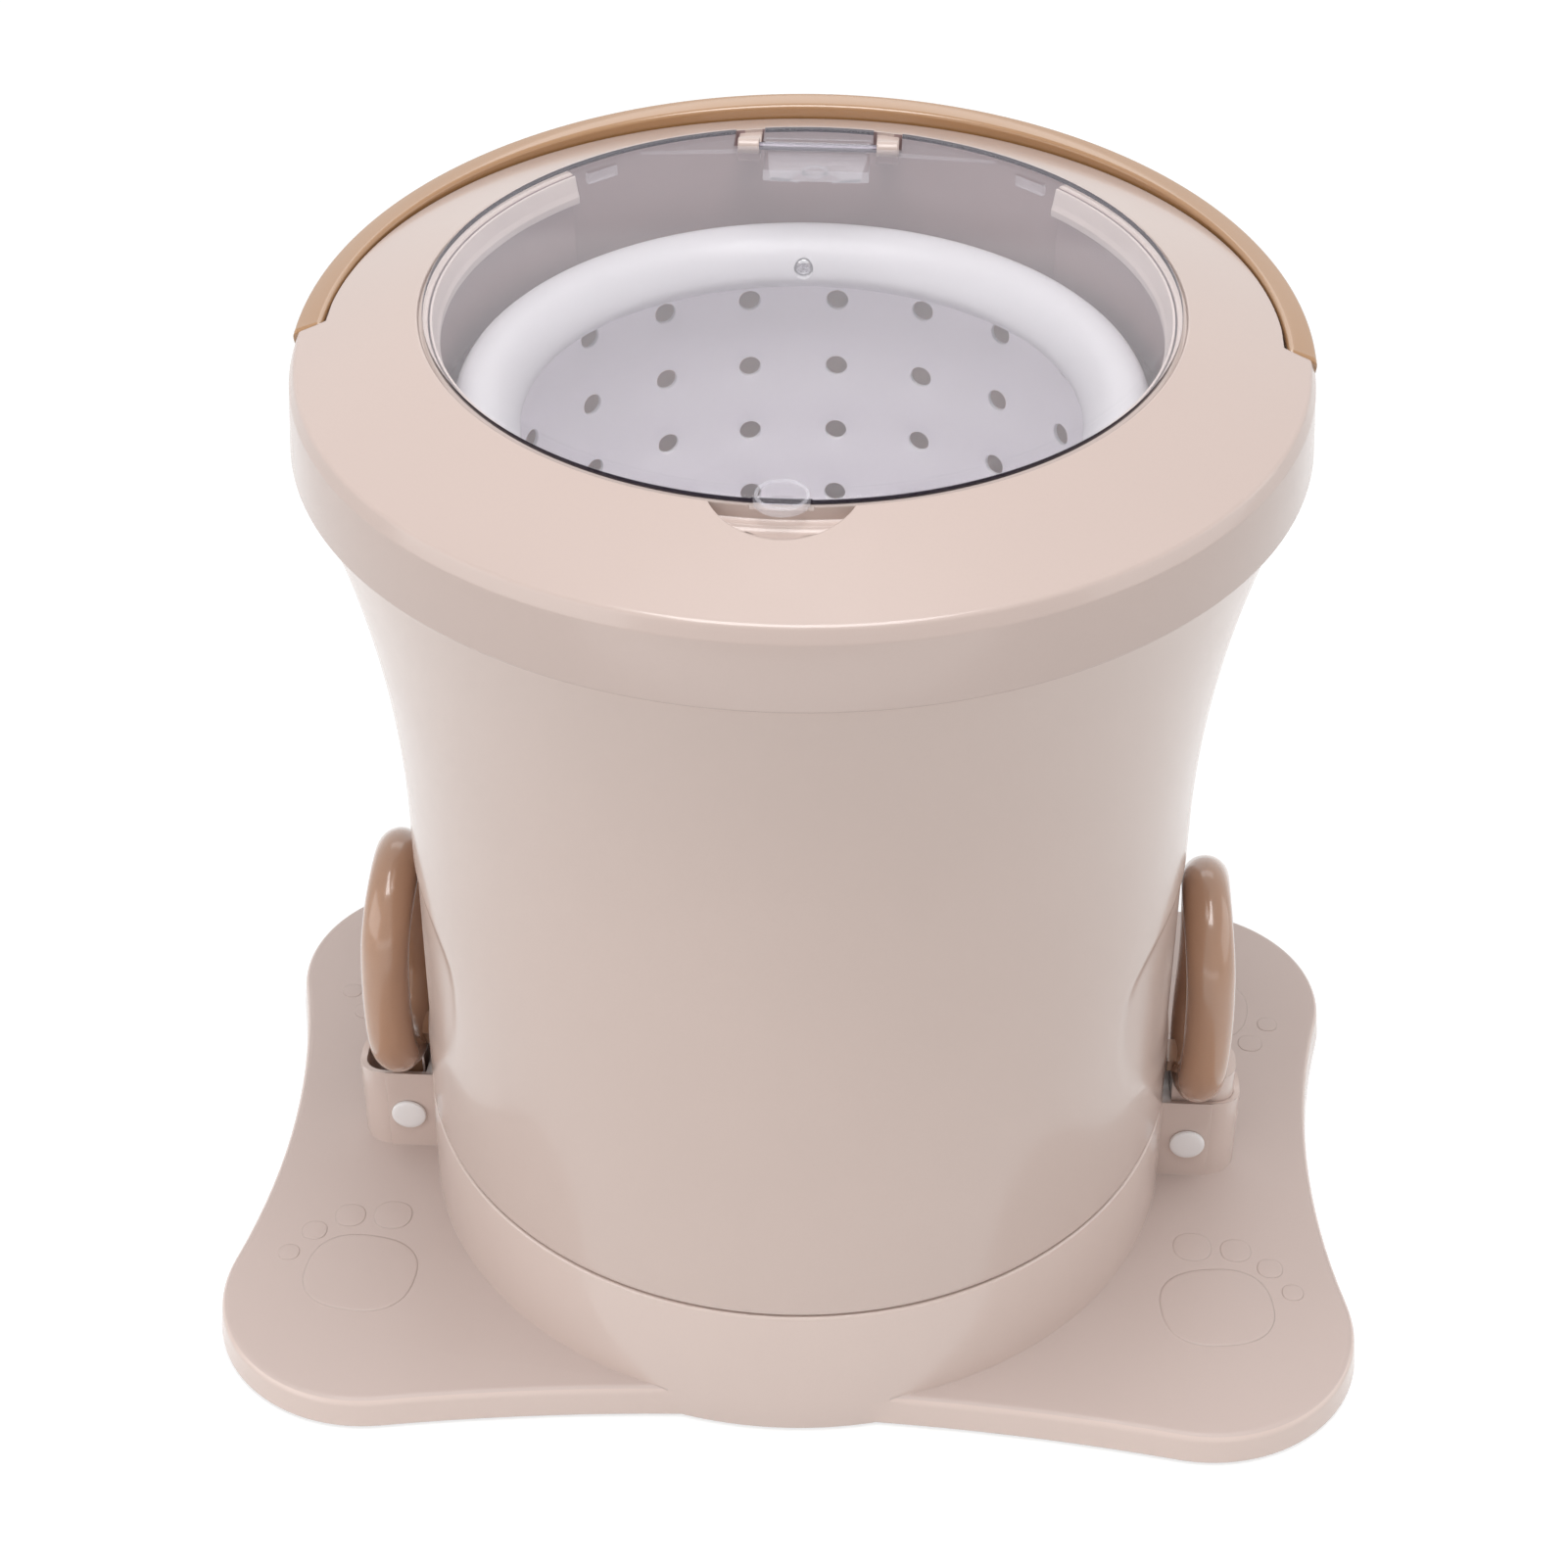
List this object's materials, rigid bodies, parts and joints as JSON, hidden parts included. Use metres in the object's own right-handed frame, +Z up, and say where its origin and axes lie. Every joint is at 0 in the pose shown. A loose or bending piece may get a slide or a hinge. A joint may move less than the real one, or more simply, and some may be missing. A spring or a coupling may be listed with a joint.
{
  "type": "manual spin dryer",
  "caption": "Hand-pumped spin dryer: flared barrel with a perforated basket under a clear hinged lid, on a lobed foot plate with side pull-ring latches and a rear carry handle.",
  "frame": {"origin": "centre of the floor under the foot plate, on the barrel's axis", "axes": "+Z up along the barrel's axis, -Y towards the front with the lid's finger tab, +X towards the right-hand latch"},
  "size_m": [0.417, 0.3332, 0.3828],
  "materials": {
    "plate": "fine satin moulding",
    "shell": "glossy moulding",
    "collar": "glossy moulding",
    "brown": "glossy moulding",
    "tan": "satin moulding",
    "white": "satin moulding",
    "clear": "clear polished plastic",
    "steel": "plain",
    "rubber": "matte",
    "nylon": "natural"
  },
  "bodies": {
    "root": {"base_plate": "plate", "bottom_cover": "plate", "foot_1": "rubber", "foot_2": "rubber", "foot_3": "rubber", "foot_4": "rubber", "base_screw_1": "steel", "base_screw_2": "steel", "base_screw_3": "steel", "base_screw_4": "steel", "helical_rod": "steel", "rod_flange": "steel", "rod_nut": "steel", "rod_stop": "steel", "flange_screw_1": "steel", "flange_screw_2": "steel", "flange_screw_3": "steel", "landing_ring": "rubber", "latch_pin_left": "steel", "latch_pin_right": "steel", "pin_cap_left": "white", "pin_cap_right": "white", "latch_spring_left": "steel", "latch_spring_right": "steel"},
    "barrel": {"barrel_shell": "shell", "barrel_flare": "shell", "collar": "collar", "collar_screw_1": "steel", "collar_screw_2": "steel", "collar_screw_3": "steel", "bearing_housing": "nylon", "housing_screw_1": "steel", "housing_screw_2": "steel", "housing_screw_3": "steel", "bearing_outer_race": "steel", "guide_bush": "nylon", "shaft_seal": "rubber", "drain_plug": "rubber", "splash_rim": "collar", "handle_pin_left": "steel", "handle_pin_right": "steel", "lid_pin": "steel"},
    "basket": {"basket": "white", "basket_column": "white", "basket_ring": "white", "ring_screw_1": "steel", "ring_screw_2": "steel", "ring_screw_3": "steel", "hub_shaft": "steel", "clutch_drum": "steel", "bearing_inner_race": "steel", "ball_cage": "nylon"},
    "drive": {"drive_nut": "nylon", "clutch_roller_1": "steel", "clutch_roller_2": "steel", "clutch_roller_3": "steel"},
    "lid": {"lid": "clear"},
    "handle": {"carry_handle": "tan"},
    "latch_left": {"latch_ring_left": "brown"},
    "latch_right": {"latch_ring_right": "brown"}
  },
  "joints": [
    {"name": "lift", "type": "slide", "parent": "root", "child": "barrel", "axis": [0, 0, 1], "range_m": [0, 0.12]},
    {"name": "basket_spin", "type": "hinge", "parent": "barrel", "child": "basket", "pos_m": [0, 0, 0.1], "axis": [0, 0, 1], "continuous": true},
    {"name": "drive_turn", "type": "hinge", "parent": "barrel", "child": "drive", "pos_m": [0, 0, 0.06], "axis": [0, 0, 1], "range_deg": [0, 361]},
    {"name": "lid_hinge", "type": "hinge", "parent": "barrel", "child": "lid", "pos_m": [0, 0.107, 0.38], "axis": [-1, 0, 0], "range_deg": [0, 100]},
    {"name": "handle_swing", "type": "hinge", "parent": "barrel", "child": "handle", "pos_m": [0, 0.004, 0.3622], "axis": [1, 0, 0], "range_deg": [0, 90]},
    {"name": "latch_left_pull", "type": "hinge", "parent": "root", "child": "latch_left", "pos_m": [-0.1487, 0, 0.03], "axis": [0, -1, 0], "range_deg": [0, 15]},
    {"name": "latch_right_pull", "type": "hinge", "parent": "root", "child": "latch_right", "pos_m": [0.1487, 0, 0.03], "axis": [0, 1, 0], "range_deg": [0, 15]}
  ],
  "couplings": [
    {"joint": "drive_turn", "follows": "lift", "rad_per_m": 52.36}
  ]
}
